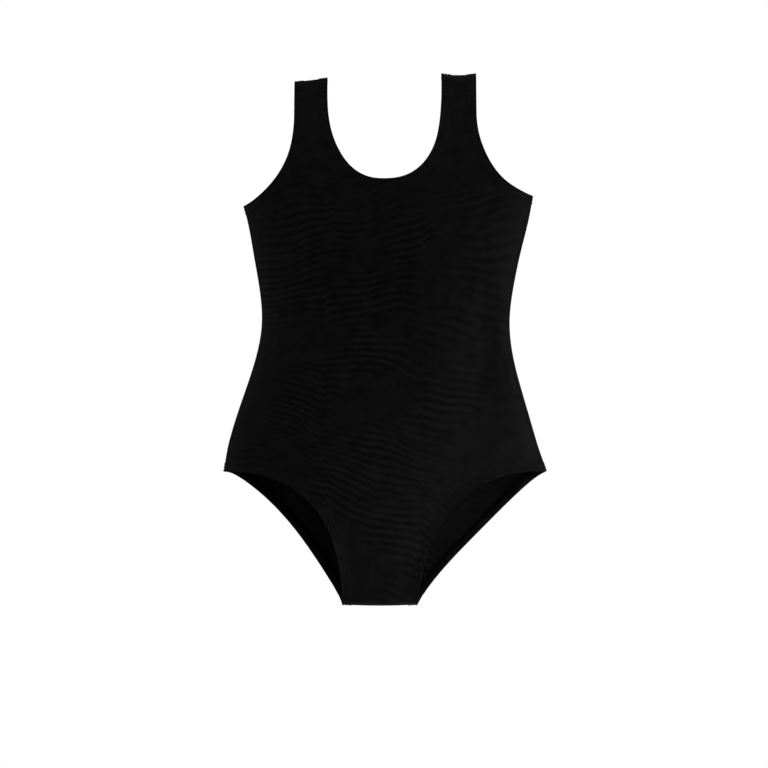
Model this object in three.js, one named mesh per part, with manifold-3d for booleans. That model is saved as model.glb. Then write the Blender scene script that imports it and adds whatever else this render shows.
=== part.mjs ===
// A child's tank leotard for gymnastics and ballet, built as it is sewn: two jersey panels, turned hems
// with elastic inside, overlocked seams, cover-stitched hems and a crotch lining.
// Millimetres, +Z up, the front faces -Y, +X is to the right of someone looking at the front.
// The origin is where a hanger carries it: midway between the straps, inside their folds.
import * as THREE from "three";
import { ParametricGeometry } from "three/addons/geometries/ParametricGeometry.js";
import { mergeVertices } from "three/addons/utils/BufferGeometryUtils.js";
import Module from "manifold-3d";

const wasm = await Module();
wasm.setup();

// ---- Driving dimensions ----
const clothThickness = 0.9;
const gap = 0.3; // clearance between touching pieces

// Heights are given as drops below the inside of the strap folds.
const bodyLength = 555; // to the inside of the crotch fold
const armpitDrop = 131;
const waistDrop = 256;
const hipDrop = 414; // the corner where the side seam meets the leg opening
const neckDrop = 108; // front neckline
const backNeckExtra = 16; // how much deeper the back neckline is

// Half widths, from the centre line.
const strapInner = 61;
const strapWidth = 35;
const shoulderHalf = 140; // of the trunk that the straps lie on, not of the cloth
const armpitHalf = 152;
const waistHalf = 130;
const hipHalf = 169;
const crotchHalf = 39.5;
const loinHalf = 96; // of the trunk at the crotch

// Half depths, from the side seams to the front and to the back.
const foldRadius = 6; // of the straps over the shoulder and of the cloth under the crotch
const chestDepth = 29;
const waistDepth = 24;
const bellyDepth = 27;
const shoulderBladeDepth = 30;
const seatDepth = 31;
const backFlat = 28; // the plane that the back lies on when the leotard is laid down
const groinDepth = 20; // half way up the leg openings

// Trimmings.
const hemDepth = 9;
const elasticThickness = 0.8;
const threadThickness = 0.4;
const seamAllowance = 6;
const shoulderSeamDrop = 4; // the shoulder seam lies just in front of the fold
const crotchSeamRise = 14; // the crotch seam lies behind the fold
const liningHeight = 105;
const labelWidth = 30;
const labelHeight = 22;
const labelThickness = 0.5;
const labelDrop = 315;

// ---- Sizes that follow ----
const strapOuter = strapInner + strapWidth;
const legHeight = bodyLength - hipDrop;
const elasticWidth = hemDepth * (2 / 3);
const needleInset = hemDepth / 3; // from the edge to the first row of the cover stitch
const needleGauge = needleInset + gap; // between its two rows
const elasticLayer = clothThickness + gap; // depths below the outer face of the cloth
const hemLayer = elasticLayer + elasticThickness + gap;
const hemInner = hemLayer + clothThickness;
const coverLayer = hemInner + gap;
const liningLayer = clothThickness + gap;
const liningInner = liningLayer + clothThickness;
const overlockInner = liningLayer + 2 * clothThickness;
const reach = 300; // past everything, for cutters

// ---- Resolution ----
const aroundSteps = 32;
const foldSteps = 3;
const stretchSteps = 4; // between the corners of the outline: fold, armpit, waist, hip and fold
const edgeSteps = 16;

// ---- The trunk: the smooth form that the cloth lies on, as half widths and half depths by height ----
const point = (x, drop) => new THREE.Vector2(x, -drop);

// A curve whose points run downwards, as a function of the drop.
function byDrop(curve) {
  const points = curve.getSpacedPoints(160);
  return (drop) => {
    const next = points.findIndex((p) => -p.y > drop);
    if (next < 0) return points.at(-1).x;
    if (next === 0) return points[0].x;
    const [a, b] = [points[next - 1], points[next]];
    return THREE.MathUtils.mapLinear(drop, -a.y, -b.y, a.x, b.x);
  };
}

const sideSeam = new THREE.CurvePath();
sideSeam.add(new THREE.LineCurve(point(shoulderHalf, -reach), point(shoulderHalf, 0)));
sideSeam.add(new THREE.LineCurve(point(shoulderHalf, 0), point(armpitHalf, armpitDrop)));
const chestSpan = waistDrop - armpitDrop;
sideSeam.add(
  new THREE.CubicBezierCurve(
    point(armpitHalf, armpitDrop),
    point(armpitHalf - 6, armpitDrop + chestSpan / 4),
    point(waistHalf, waistDrop - chestSpan * 0.36),
    point(waistHalf, waistDrop),
  ),
);
const hipSpan = hipDrop - waistDrop;
sideSeam.add(
  new THREE.CubicBezierCurve(
    point(waistHalf, waistDrop),
    point(waistHalf, waistDrop + hipSpan * 0.16),
    point(hipHalf - 19, hipDrop - hipSpan * 0.4),
    point(hipHalf, hipDrop),
  ),
);
sideSeam.add(new THREE.LineCurve(point(hipHalf, hipDrop), point(loinHalf, bodyLength + foldRadius)));
const halfWidth = byDrop(sideSeam);

const depthProfile = (upper, lower) =>
  byDrop(
    new THREE.SplineCurve([
      point(foldRadius, -foldRadius),
      point((foldRadius + upper) * 0.62, armpitDrop * 0.55),
      point(upper, armpitDrop + chestSpan * 0.35),
      point(waistDepth, waistDrop),
      point(lower, hipDrop - hipSpan * 0.2),
      point(groinDepth, hipDrop + legHeight / 2),
      point(foldRadius, bodyLength + foldRadius),
    ]),
  );
const frontDepth = depthProfile(chestDepth, bellyDepth);
const backDepth = depthProfile(shoulderBladeDepth, seatDepth);

// The rows of the trunk, from top to bottom. share is how much of the depth a row has: none at the very
// end, all of it past the fold.
function trunkRows(inset) {
  const radius = foldRadius + clothThickness - inset;
  const top = inset - clothThickness;
  const bottom = bodyLength + clothThickness - inset;
  const fold = [];
  for (let i = 0; i < foldSteps; i += 1) {
    const angle = ((i / foldSteps) * Math.PI) / 2;
    fold.push({ in: radius * (1 - Math.cos(angle)), share: Math.sin(angle) });
  }
  const rows = fold.map((row) => ({ drop: top + row.in, share: row.share }));
  const corners = [top + radius, armpitDrop, waistDrop, hipDrop, bottom - radius];
  for (let c = 1; c < corners.length; c += 1) {
    for (let i = 0; i < stretchSteps; i += 1) {
      rows.push({ drop: THREE.MathUtils.lerp(corners[c - 1], corners[c], i / stretchSteps), share: 1 });
    }
  }
  rows.push({ drop: corners.at(-1), share: 1 });
  fold.reverse();
  return rows.concat(fold.map((row) => ({ drop: bottom - row.in, share: row.share })));
}

// The solid under the cloth's outer face, or inset below it. The back is flat where it would be laid down.
const trunks = new Map();
function trunk(inset) {
  if (trunks.has(inset)) return trunks.get(inset);
  const rows = trunkRows(inset);
  const geometry = new ParametricGeometry(
    (u, v, target) => {
      const { drop, share } = rows[Math.round(v * (rows.length - 1))];
      const angle = -u * 2 * Math.PI;
      const depth = (Math.sin(angle) < 0 ? frontDepth(drop) : backDepth(drop)) + clothThickness;
      target.set(
        (halfWidth(drop) - inset) * Math.cos(angle),
        (depth - inset) * share * Math.sin(angle),
        -drop,
      );
    },
    aroundSteps,
    rows.length - 1,
  );
  const flatBack = box([-reach, reach], [-reach, backFlat - inset], [-bodyLength - reach, reach]);
  const made = solid(geometry).intersect(flatBack);
  trunks.set(inset, made);
  return made;
}

const layer = (outer, inner) => trunk(outer).subtract(trunk(inner));

// ---- Solids ----
function solid(geometry) {
  const bare = geometry.index ? geometry : mergeVertices(geometry, 1e-4);
  bare.deleteAttribute("normal");
  bare.deleteAttribute("uv");
  const merged = mergeVertices(bare, 1e-4);
  const mesh = new wasm.Mesh({
    numProp: 3,
    vertProperties: merged.attributes.position.array,
    triVerts: new Uint32Array(merged.index.array),
  });
  return new wasm.Manifold(mesh);
}

function box([x0, x1], [y0, y1], [z0, z1]) {
  const geometry = new THREE.BoxGeometry(x1 - x0, y1 - y0, z1 - z0);
  return solid(geometry.translate((x0 + x1) / 2, (y0 + y1) / 2, (z0 + z1) / 2));
}

const union = (solids) => solids.reduce((joined, next) => joined.add(next));

// An outline in X and Z, cut through the front or the back of the trunk.
function cutThrough(outline, isFront) {
  const overlap = 0.6; // so that the front and back cutters join where their outlines are the same
  const geometry = new THREE.ExtrudeGeometry(new THREE.Shape(outline), {
    depth: reach + overlap,
    bevelEnabled: false,
  });
  geometry.rotateX(Math.PI / 2).translate(0, isFront ? overlap : reach, 0);
  return solid(geometry);
}

// ---- Openings: each is the part of the trunk that a hole leaves bare, grown into the cloth by grow ----
// An edge runs with the cloth on its left; both ends are drawn out straight past the cloth.
function grown(curve, grow) {
  const points = [];
  for (let i = 0; i <= edgeSteps; i += 1) {
    const tangent = curve.getTangentAt(i / edgeSteps);
    const inward = new THREE.Vector2(-tangent.y, tangent.x).multiplyScalar(grow);
    const at = curve.getPointAt(i / edgeSteps).add(inward);
    if (i === 0) points.push(at.clone().addScaledVector(tangent, -reach / 4));
    points.push(at);
    if (i === edgeSteps) points.push(at.clone().addScaledVector(tangent, reach / 4));
  }
  return points;
}

const mirrored = (points, side) => points.map((p) => new THREE.Vector2(p.x * side, p.y));

function neckOutline(isFront, grow) {
  const drop = neckDrop + (isFront ? 0 : backNeckExtra);
  const bowl = strapInner * 1.18; // the height of the round part below the straight strap edges
  const curve = new THREE.CurvePath();
  curve.add(new THREE.LineCurve(point(strapInner, -1), point(strapInner, drop - bowl)));
  curve.add(new THREE.EllipseCurve(0, -(drop - bowl), strapInner, bowl, 0, -Math.PI, true));
  curve.add(new THREE.LineCurve(point(-strapInner, drop - bowl), point(-strapInner, -1)));
  return grown(curve, grow);
}

function armOutline(isFront, grow) {
  const scoop = isFront ? 0 : 3; // the back armhole is cut a little further in
  const curve = new THREE.CurvePath();
  const straight = armpitDrop * 0.28;
  curve.add(
    new THREE.CubicBezierCurve(
      point(armpitHalf, armpitDrop),
      point(strapOuter + strapWidth / 2, armpitDrop * 0.81 + scoop),
      point(strapOuter, armpitDrop * 0.59 + scoop),
      point(strapOuter, straight),
    ),
  );
  curve.add(new THREE.LineCurve(point(strapOuter, straight), point(strapOuter, -1)));
  return grown(curve, grow);
}

function legOutline(isFront, grow) {
  const end = point(crotchHalf, bodyLength - 1);
  const span = hipHalf - crotchHalf;
  const [first, second] = isFront
    ? [
        point(crotchHalf + span * 0.06, bodyLength - legHeight * 0.66),
        point(crotchHalf + span * 0.43, hipDrop - 5),
      ]
    : [
        point(crotchHalf + span * 0.25, bodyLength - legHeight * 0.43),
        point(crotchHalf + span * 0.66, hipDrop + legHeight * 0.17),
      ];
  return grown(new THREE.CubicBezierCurve(end, first, second, point(hipHalf, hipDrop)), grow);
}

// The outline is closed on the far side of the hole, outside the cloth.
const far = {
  neck: () => [point(-strapInner, -reach), point(strapInner, -reach)],
  arm: () => [point(strapOuter, -reach), point(reach, -reach), point(reach, armpitDrop)],
  leg: () => [point(reach, hipDrop), point(reach, bodyLength + reach), point(crotchHalf, bodyLength + reach)],
};
const outlines = { neck: neckOutline, arm: armOutline, leg: legOutline };

function opening(kind, side, grow) {
  const halves = [true, false].map((isFront) => {
    const outline = [...outlines[kind](isFront, grow), ...far[kind]()];
    return cutThrough(mirrored(outline, side), isFront);
  });
  return union(halves);
}

const openings = [
  { name: "neckline", kind: "neck", side: 1 },
  { name: "left_armhole", kind: "arm", side: -1 },
  { name: "right_armhole", kind: "arm", side: 1 },
  { name: "left_leg", kind: "leg", side: -1 },
  { name: "right_leg", kind: "leg", side: 1 },
];
const holes = (grow) => union(openings.map((o) => opening(o.kind, o.side, grow)));
const band = (o, outer, inner, from, to) =>
  layer(outer, inner).intersect(opening(o.kind, o.side, to)).subtract(opening(o.kind, o.side, from));

// ---- Where the front panel ends and the back panel starts ----
// slack is half the gap between them. The back panel reaches over the shoulder, the front one under the crotch.
function zone(isFront, slack) {
  const front = box([-reach, reach], [-reach, -slack], [-bodyLength - reach, -shoulderSeamDrop - slack]);
  const under = box(
    [-crotchHalf - hemDepth, crotchHalf + hemDepth],
    [-slack - 1, reach],
    [-bodyLength - reach, -bodyLength + crotchSeamRise - slack],
  );
  if (isFront) return front.add(under);
  const back = box([-reach, reach], [slack, reach], [-bodyLength + crotchSeamRise + slack, reach]);
  const over = box([-reach, reach], [-reach, slack + 1], [-shoulderSeamDrop + slack, reach]);
  return back.add(over);
}

// ---- Materials ----
const jersey = new THREE.MeshStandardMaterial({ color: 0x0b0b0d, roughness: 0.62, metalness: 0 });
const elasticBand = new THREE.MeshStandardMaterial({ color: 0x161616, roughness: 0.8, metalness: 0 });
const thread = new THREE.MeshStandardMaterial({ color: 0x0d0d0f, roughness: 0.5, metalness: 0 });
const labelCloth = new THREE.MeshStandardMaterial({ color: 0xe9e7e1, roughness: 0.55, metalness: 0 });

const leotard = new THREE.Group();

function addPiece(name, made, material) {
  const { vertProperties, triVerts } = made.getMesh();
  const geometry = new THREE.BufferGeometry();
  geometry.setAttribute("position", new THREE.BufferAttribute(vertProperties, 3));
  geometry.setIndex(new THREE.BufferAttribute(triVerts, 1));
  const mesh = new THREE.Mesh(geometry, material);
  mesh.name = name;
  leotard.add(mesh);
}

// ---- Panels: the outer cloth, turned over the elastic and back on itself along every opening ----
const outerCloth = layer(0, clothThickness);
const edgeTurn = layer(0, hemInner).intersect(holes(clothThickness));
const turnedHem = layer(hemLayer, hemInner).intersect(holes(hemDepth));
const cloth = union([outerCloth, edgeTurn, turnedHem]).subtract(holes(0));
addPiece("front_panel", cloth.intersect(zone(true, gap / 2)), jersey);
addPiece("back_panel", cloth.intersect(zone(false, gap / 2)), jersey);

// ---- The elastic in each hem, and the cover stitch that holds it ----
for (const o of openings) {
  const edge = clothThickness + gap;
  const elastic = band(o, elasticLayer, elasticLayer + elasticThickness, edge, edge + elasticWidth);
  addPiece(`${o.name}_elastic`, elastic, elasticBand);
  const rows = [needleInset, needleInset + needleGauge];
  addPiece(`${o.name}_cover_stitch`, band(o, coverLayer, coverLayer + threadThickness, ...rows), thread);
}

// ---- Overlocked seams: both allowances and their thread, lying inside the cloth between the hems ----
const betweenHems = holes(hemDepth + gap);
const allowances = layer(liningLayer, overlockInner).subtract(betweenHems);
for (const [side, name] of [[-1, "left"], [1, "right"]]) {
  const flank = [side * strapOuter, side * reach].sort((a, b) => a - b);
  const alongSide = box(flank, [0, seamAllowance], [-bodyLength, 0]);
  addPiece(`${name}_side_overlock`, allowances.intersect(alongSide), thread);
  const overStrap = box(
    [side * strapInner, side * strapOuter].sort((a, b) => a - b),
    [-reach, 0],
    [-shoulderSeamDrop - seamAllowance, -shoulderSeamDrop],
  );
  addPiece(`${name}_shoulder_overlock`, allowances.intersect(overStrap), thread);
}
const crotchSeamZ = -bodyLength + crotchSeamRise;
const acrossCrotch = box([-crotchHalf, crotchHalf], [0, reach], [crotchSeamZ, crotchSeamZ + seamAllowance]);
addPiece("crotch_overlock", allowances.intersect(acrossCrotch), thread);

// ---- The crotch lining, from the crotch seam under the fold and up the front, and the stitch along its top ----
const liningTop = -bodyLength + liningHeight;
const frontOfCrotch = box([-hipHalf, hipHalf], [-reach, 0], [-bodyLength - 1, liningTop]);
const underCrotch = box([-hipHalf, hipHalf], [-1, reach], [-bodyLength - 1, crotchSeamZ - gap]);
const lining = layer(liningLayer, liningInner).subtract(betweenHems);
addPiece("crotch_lining", lining.intersect(frontOfCrotch.add(underCrotch)), jersey);
const alongTop = box([-hipHalf, hipHalf], [-reach, 0], [liningTop - needleGauge, liningTop - 1]);
const liningStitch = layer(liningInner + gap, liningInner + gap + threadThickness).subtract(betweenHems);
addPiece("crotch_lining_stitch", liningStitch.intersect(alongTop), thread);

// ---- The care label, caught in the left side seam and lying against the inside of the back ----
const labelEdge = -halfWidth(labelDrop) + overlockInner + gap;
const labelOuter = overlockInner + gap;
const labelSpace = box(
  [labelEdge, labelEdge + labelWidth],
  [gap, reach],
  [-labelDrop - labelHeight / 2, -labelDrop + labelHeight / 2],
);
addPiece("care_label", layer(labelOuter, labelOuter + labelThickness).intersect(labelSpace), labelCloth);

export default leotard;
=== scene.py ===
import math
from functools import partial

import bmesh
import bpy
import numpy as np
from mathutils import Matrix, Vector
from mathutils.geometry import delaunay_2d_cdt
from mathutils.kdtree import KDTree


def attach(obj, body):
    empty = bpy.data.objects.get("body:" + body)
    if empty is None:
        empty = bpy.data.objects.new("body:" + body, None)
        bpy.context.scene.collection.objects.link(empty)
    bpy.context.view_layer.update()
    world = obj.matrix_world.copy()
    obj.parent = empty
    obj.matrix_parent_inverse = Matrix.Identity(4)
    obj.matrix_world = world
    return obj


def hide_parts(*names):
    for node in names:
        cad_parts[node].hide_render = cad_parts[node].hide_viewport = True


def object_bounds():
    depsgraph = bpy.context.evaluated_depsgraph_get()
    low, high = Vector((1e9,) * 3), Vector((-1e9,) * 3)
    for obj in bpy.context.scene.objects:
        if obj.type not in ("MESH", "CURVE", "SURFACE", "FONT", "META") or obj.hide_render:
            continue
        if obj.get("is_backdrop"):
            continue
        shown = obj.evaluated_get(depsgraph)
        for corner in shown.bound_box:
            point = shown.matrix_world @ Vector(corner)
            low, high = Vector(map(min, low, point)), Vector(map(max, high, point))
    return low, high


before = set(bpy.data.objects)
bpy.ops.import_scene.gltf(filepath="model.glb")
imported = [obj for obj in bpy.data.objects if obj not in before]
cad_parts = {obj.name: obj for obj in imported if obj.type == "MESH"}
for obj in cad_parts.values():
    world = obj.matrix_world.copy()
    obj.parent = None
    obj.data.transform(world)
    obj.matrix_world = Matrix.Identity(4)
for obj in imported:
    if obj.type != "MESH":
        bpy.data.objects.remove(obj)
cadLow, cadHigh = (np.array(corner, float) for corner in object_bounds())
scene = bpy.context.scene
mm = 0.001

# ---- The form that the cloth lies on ----
top = cadHigh[2]  # outer face of the strap folds
span = top - cadLow[2]  # from there to the underside of the crotch
form = {  # pairs are a half width and a drop from the top of the straps, in metres; the last three are in mm
    "fold": 6.9 * mm,
    "armpit": (152.3 * mm, 131.7 * mm),
    "waist": (130.9 * mm, 256.5 * mm),
    "hip": (169.6 * mm, 416.2 * mm),
    "shoulderHalf": 140 * mm,
    "loinHalf": 96 * mm,
    "frontDepth": (7.2, 13.5, 22.6, 29.9, 25.2, 28.2, 21, 7.2),
    "backDepth": (7.2, 14, 23.2, 30.6, 25.2, 30.8, 22, 7.2),
    "depthDrops": (0, 28, 74, 177, 257, 380, 486, 556.8),
}
fold = form["fold"]


def unit(rows):
    return rows / np.linalg.norm(rows, axis=1)[:, None]


def bezier(a, b, c, d, count=80):
    a, b, c, d = (np.array(v, float) for v in (a, b, c, d))
    u = np.linspace(0, 1, count)[:, None]
    return (1 - u) ** 3 * a + 3 * (1 - u) ** 2 * u * b + 3 * (1 - u) * u * u * c + u**3 * d


def spline(xs, ys, x):
    xs, ys = np.array(xs, float), np.array(ys, float)
    slopes = np.gradient(ys, xs)
    i = np.clip(np.searchsorted(xs, x) - 1, 0, len(xs) - 2)
    h = xs[i + 1] - xs[i]
    t = np.clip((x - xs[i]) / h, 0, 1)
    return (
        (2 * t**3 - 3 * t**2 + 1) * ys[i]
        + (t**3 - 2 * t**2 + t) * h * slopes[i]
        + (3 * t**2 - 2 * t**3) * ys[i + 1]
        + (t**3 - t**2) * h * slopes[i + 1]
    )


def smooth(value, low, high):
    t = np.clip((value - low) / (high - low), 0, 1)
    return t * t * (3 - 2 * t)


def sideOutline():
    armpit, waist, hip = (np.array(form[k]) for k in ("armpit", "waist", "hip"))
    chest, seat = waist[1] - armpit[1], hip[1] - waist[1]
    taper, flare = np.array((-0.06, 0.33)) * chest, np.array((0.09, 0.44)) * seat
    runs = [
        bezier((form["shoulderHalf"], -0.02), (form["shoulderHalf"], 0.05), armpit - taper, armpit),
        bezier(armpit, armpit + taper, waist - (0, chest * 0.26), waist),
        bezier(waist, waist + (0, seat * 0.3), hip - flare, hip),
        bezier(hip, hip + flare * 0.4, (0.15, span - 0.04), (form["loinHalf"], span + 0.02)),
    ]
    return np.vstack(runs)


sideLine = sideOutline()
bend = fold * math.pi / 2
length = span - 2 * fold + 2 * bend  # of the cloth from fold to fold
arc = np.linspace(0, 1, 900) * length
inFold, fromFold = np.minimum(arc, bend), np.minimum(length - arc, bend)
dropAlong = np.where(
    arc < bend,
    fold * (1 - np.cos(inFold / fold)),
    np.where(length - arc < bend, span - fold * (1 - np.cos(fromFold / fold)), arc - bend + fold),
)
shareAlong = np.sin(inFold / fold) * np.sin(fromFold / fold)
halfAlong = np.interp(dropAlong, sideLine[:, 1], sideLine[:, 0])
drops = np.array(form["depthDrops"]) * mm
depthAlong = {
    -1: spline(drops, np.array(form["frontDepth"]) * mm, dropAlong) * shareAlong,
    1: spline(drops, np.array(form["backDepth"]) * mm, dropAlong) * shareAlong,
}

# Arc length along an ellipse's quarter, by the ratio of its half axes.
ratios = np.linspace(0, 0.5, 26)
turn = np.linspace(0, math.pi / 2, 2001)
quarters, angleTable, arcTable = [], [], []
for ratio in ratios:
    speed = np.hypot(np.cos(turn), ratio * np.sin(turn))
    run = np.concatenate([[0], np.cumsum((speed[1:] + speed[:-1]) / 2 * np.diff(turn))])
    quarters.append(run[-1])
    angleTable.append(np.interp(1 - np.linspace(0, 1, 129) ** 2, run / run[-1], turn))
    arcTable.append(run[::10] / run[-1])
quarters, angleTable, arcTable = np.array(quarters), np.array(angleTable), np.array(arcTable)


def lookUp(table, ratio, u):
    r = np.clip(ratio / ratios[1], 0, len(ratios) - 1.001)
    c = np.clip(u, 0, 1) * (table.shape[1] - 1)
    i, j = r.astype(int), np.minimum(c.astype(int), table.shape[1] - 2)
    a, b = r - i, c - j
    low = table[i, j] * (1 - b) + table[i, j + 1] * b
    high = table[i + 1, j] * (1 - b) + table[i + 1, j + 1] * b
    return low * (1 - a) + high * a


def sizesAt(side, q):
    half = np.interp(q, arc, halfAlong)
    front, back = np.interp(q, arc, depthAlong[-1]), np.interp(q, arc, depthAlong[1])
    depth = np.where(side < 0, front, back)
    ratio = depth / half
    return half, depth, ratio, half * np.interp(ratio, ratios, quarters)


def seamAt(side, q):
    # how far the side seam is from the centre line, measured on the cloth
    return sizesAt(side, q)[3]


def skin(side, p, q):
    # side is -1 for the front and 1 for the back; p runs across from the centre line, q down from the fold
    side, p, q = np.broadcast_arrays(np.asarray(side, float), np.asarray(p, float), np.asarray(q, float))
    side = np.where((q < 0) | (q > length), -side, side)
    q = np.where(q < 0, -q, np.where(q > length, 2 * length - q, q))
    past = np.abs(p) - seamAt(side, q)
    side = np.where(past > 0, -side, side)
    half, depth, ratio, quarter = sizesAt(side, q)
    p = np.where(past > 0, np.sign(p) * (quarter - past), p)
    share = np.clip(np.abs(p) / quarter, 0, 1)
    angle = np.sign(p) * lookUp(angleTable, ratio, np.sqrt(1 - share))
    z = top - np.interp(q, arc, dropAlong)
    return np.stack([half * np.sin(angle), side * depth * np.cos(angle), z], axis=-1)


def toCloth(side, x, drop):
    q = np.interp(drop, dropAlong, arc)
    half, _, ratio, quarter = sizesAt(side, q)
    angle = np.arcsin(np.clip(np.abs(x) / half, 0, 1))
    return np.stack([np.sign(x) * quarter * lookUp(arcTable, ratio, angle / (math.pi / 2)), q], axis=-1)


print("form ready: cloth", round(length, 4), "m from fold to fold")

# ---- Outlines of the openings on each panel, as right halves in cloth coordinates ----
cut = {
    "strapInner": 60.3 * mm,
    "strapOuter": 95.3 * mm,
    "neck": 109.8 * mm,
    "neckRound": 1.62,  # height of the round part against its half width
    "neckSquare": 2.4,  # 2 is an ellipse, more is squarer
    "backNeckExtra": 16 * mm,
    "backStrapIn": 2 * mm,  # the back straps narrow a little, so they hide behind the front ones
    "crotchHalf": 39.7 * mm,
    "shoulderSeam": 4 * mm,  # in front of the fold
    "crotchSeam": 14 * mm,  # behind the fold
    "hem": 9 * mm,
    "step": 1.6 * mm,
    "strapRun": 25 * mm,  # the drop over which the back straps narrow
    "backArmScoop": 3 * mm,
    "armStraight": 40 * mm,
    # steering points of the curves, from the strap's outer edge, and from the crotch and the hip
    "armSteer": ((0, 76 * mm), (15.6 * mm, 116.3 * mm)),
    "legSteer": {
        -1: ((3.5 * mm, 95 * mm), (47.5 * mm, -3.5 * mm)),
        1: ((19.7 * mm, 41.7 * mm), (104.7 * mm, 7 * mm)),
    },
}
halves = {"neck": (1,), "arm": (1, -1), "leg": (1, -1)}  # which halves of a panel have their own line


def runAlong(line):
    return np.concatenate([[0], np.cumsum(np.linalg.norm(np.diff(line, axis=0), axis=1))])


def valuesAt(at, run, table):
    return np.stack([np.interp(at, run, column) for column in table.T], axis=-1)


def respace(line, step):
    run = runAlong(line)
    count = max(2, int(round(run[-1] / step)) + 1)
    return valuesAt(np.linspace(0, run[-1], count), run, line)


def soften(line, reach, step=0.4 * mm):
    fine = respace(line, step)
    weights = np.exp(-0.5 * (np.arange(-30, 31) * step / reach) ** 2)
    weights /= weights.sum()
    ends = fine[0], fine[-1]
    before = 2 * ends[0] - fine[30:0:-1]
    after = 2 * ends[1] - fine[-2:-32:-1]
    padded = np.vstack([before, fine, after])
    return np.stack([np.convolve(padded[:, k], weights, "valid") for k in range(2)], axis=-1)


def acrossSeam(side, line, reach):
    # rounds the corner where the line meets the side seam at its last point, so that it meets it squarely
    quarter = seamAt(side, line[:, 1])
    mirror = np.stack([2 * quarter - line[:, 0], line[:, 1]], axis=-1)[::-1]
    both = soften(np.vstack([line, mirror[1:]]), reach)
    inside = both[:, 0] <= seamAt(side, both[:, 1])
    last = np.argmin(inside) if not inside.all() else len(inside)
    kept = both[:last]
    end = kept[-1].copy()
    end[0] = seamAt(side, end[1])
    return np.vstack([kept[:-1], end])


def neckHalf(side):
    back = side > 0
    inner = cut["strapInner"]
    bottom = cut["neck"] + back * cut["backNeckExtra"]
    bowl = inner * cut["neckRound"]
    turnBy = np.linspace(0, math.pi / 2, 160)
    square = 2 / cut["neckSquare"]
    across, down = inner * np.cos(turnBy) ** square, bottom - bowl + bowl * np.sin(turnBy) ** square
    straight = np.linspace((inner, 0), (inner, bottom - bowl), 40)[:-1]
    line = np.vstack([straight, np.stack([across, down], axis=-1)])
    line[:, 0] += back * cut["backStrapIn"] * smooth(line[:, 1], 0, cut["strapRun"]) * (line[:, 0] > 30 * mm)
    return toCloth(side, *respace(line, 0.8 * mm).T)


def armHalf(side):
    outer, start = cut["strapOuter"], cut["armStraight"]
    straight = np.linspace((outer, 0), (outer, start), 40)[:-1]
    scoop = (side > 0) * cut["backArmScoop"]
    steers = [(outer + out, down + scoop) for out, down in cut["armSteer"]]
    line = np.vstack([straight, bezier((outer, start), *steers, form["armpit"], 160)])
    narrow = smooth(line[:, 1], 0, cut["strapRun"]) * (1 - smooth(line[:, 1], 60 * mm, 120 * mm))
    line[:, 0] -= (side > 0) * 2 * cut["backStrapIn"] * narrow
    return toCloth(side, *line.T)


def legHalf(side):
    half, hip = cut["crotchHalf"], form["hip"]
    (innerOut, innerUp), (outerOut, outerDown) = cut["legSteer"][side]
    inner, outer = (half + innerOut, span - innerUp), (half + outerOut, hip[1] + outerDown)
    return toCloth(side, *bezier(hip, outer, inner, (half, span), 200).T)


def withEnd(line, q, atStart):
    # carries a line on past the fold, or cuts it before the fold, so that it ends at q
    if atStart:
        if q < line[0, 1]:
            return np.vstack([[line[0, 0], q], line])
        kept = line[line[:, 1] > q]
        return np.vstack([[kept[0, 0], q], kept])
    if q > line[-1, 1]:
        return np.vstack([line, [line[-1, 0], q]])
    kept = line[line[:, 1] < q]
    return np.vstack([kept, [kept[-1, 0], q]])


def panelLines(side):
    shoulder = cut["shoulderSeam"] if side < 0 else -cut["shoulderSeam"]
    crotch = length + cut["crotchSeam"] if side < 0 else length - cut["crotchSeam"]
    neck = withEnd(neckHalf(side), shoulder, True)
    arm = withEnd(acrossSeam(side, armHalf(side), 3.2 * mm), shoulder, True)
    leg = acrossSeam(side, legHalf(side)[::-1], 3.2 * mm)[::-1]
    if side < 0:  # past the fold the front is cut to meet the back
        behind = legHalf(1)[::-1]
        behind[:, 1] = 2 * length - behind[:, 1]
        leg = np.vstack([leg, behind[1:]])
    leg = withEnd(leg, crotch, False)
    mirror = neck[::-1] * (-1, 1)
    return {"neck": np.vstack([neck, mirror[1:]]), "arm": arm, "leg": leg}


lines = {side: panelLines(side) for side in (-1, 1)}
# The front and back lines meet the side seam at the same points.
for name, end in (("arm", -1), ("leg", 0)):
    goal = (lines[-1][name][end, 1] + lines[1][name][end, 1]) / 2
    for side in (-1, 1):
        line = lines[side][name]
        gaps = np.linalg.norm(line - line[end], axis=1)
        line[:, 1] += (goal - line[end, 1]) * np.exp(-gaps / (12 * mm))
        line[end, 0] = seamAt(side, line[end, 1])


def closerAtFolds(line):
    # one more point between each two where the cloth turns over a fold
    middles = (line[1:] + line[:-1]) / 2
    bent = (middles[:, 1] < 14 * mm) | (middles[:, 1] > length - 14 * mm)
    rows = []
    for point, middle, extra in zip(line, middles, bent):
        rows += [point, middle] if extra else [point]
    return np.array(rows + [line[-1]])


for side in (-1, 1):
    for name in halves:
        lines[side][name] = closerAtFolds(respace(soften(lines[side][name], 1.2 * mm), cut["step"]))


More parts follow.
